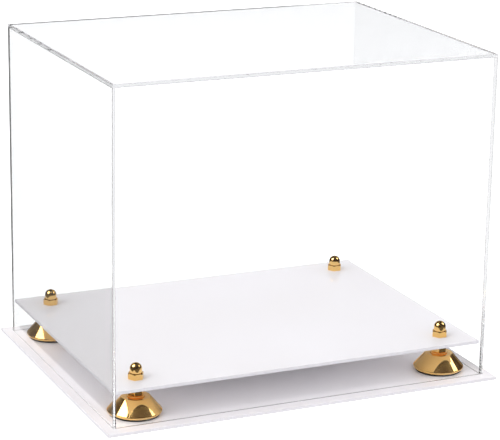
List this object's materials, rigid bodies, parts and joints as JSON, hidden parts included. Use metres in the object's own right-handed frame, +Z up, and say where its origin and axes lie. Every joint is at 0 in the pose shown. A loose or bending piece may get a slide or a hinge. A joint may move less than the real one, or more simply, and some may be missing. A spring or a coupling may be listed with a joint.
{
  "type": "football helmet display case",
  "caption": "Clear box cover on a white base plate, with a white platform on turned gold risers inside that holds a football helmet.",
  "frame": {"origin": "middle of the base plate's underside, on the surface that the case stands on", "axes": "+X along the case's long side, to the right when facing the front; the front faces -Y; +Z up"},
  "size_m": [0.3858, 0.3014, 0.3078],
  "materials": {
    "clear_acrylic": "polished clear sheet",
    "white_acrylic": "gloss",
    "polished_gold": "mirror polished gold plating",
    "black_pad": "matt",
    "plated_steel": "bright zinc"
  },
  "bodies": {
    "base": {"base_plate": "white_acrylic"},
    "tray": {"riser_pad_front_left": "black_pad", "riser_pad_front_right": "black_pad", "riser_pad_back_left": "black_pad", "riser_pad_back_right": "black_pad", "riser_front_left": "polished_gold", "riser_front_right": "polished_gold", "riser_back_left": "polished_gold", "riser_back_right": "polished_gold", "bolt_front_left": "plated_steel", "bolt_front_right": "plated_steel", "bolt_back_left": "plated_steel", "bolt_back_right": "plated_steel", "washer_front_left": "polished_gold", "washer_front_right": "polished_gold", "washer_back_left": "polished_gold", "washer_back_right": "polished_gold", "spacer_front_left": "polished_gold", "spacer_front_right": "polished_gold", "spacer_back_left": "polished_gold", "spacer_back_right": "polished_gold", "platform": "white_acrylic", "cap_nut_front_left": "polished_gold", "cap_nut_front_right": "polished_gold", "cap_nut_back_left": "polished_gold", "cap_nut_back_right": "polished_gold"},
    "cover": {"front_panel": "clear_acrylic", "back_panel": "clear_acrylic", "left_panel": "clear_acrylic", "right_panel": "clear_acrylic", "top_panel": "clear_acrylic"}
  },
  "joints": [
    {"name": "cover_lift", "type": "slide", "parent": "base", "child": "cover", "axis": [0, 0, 1], "range_m": [0, 0.32]},
    {"name": "platform_lift", "type": "slide", "parent": "base", "child": "tray", "axis": [0, 0, 1], "range_m": [0, 0.24]}
  ]
}
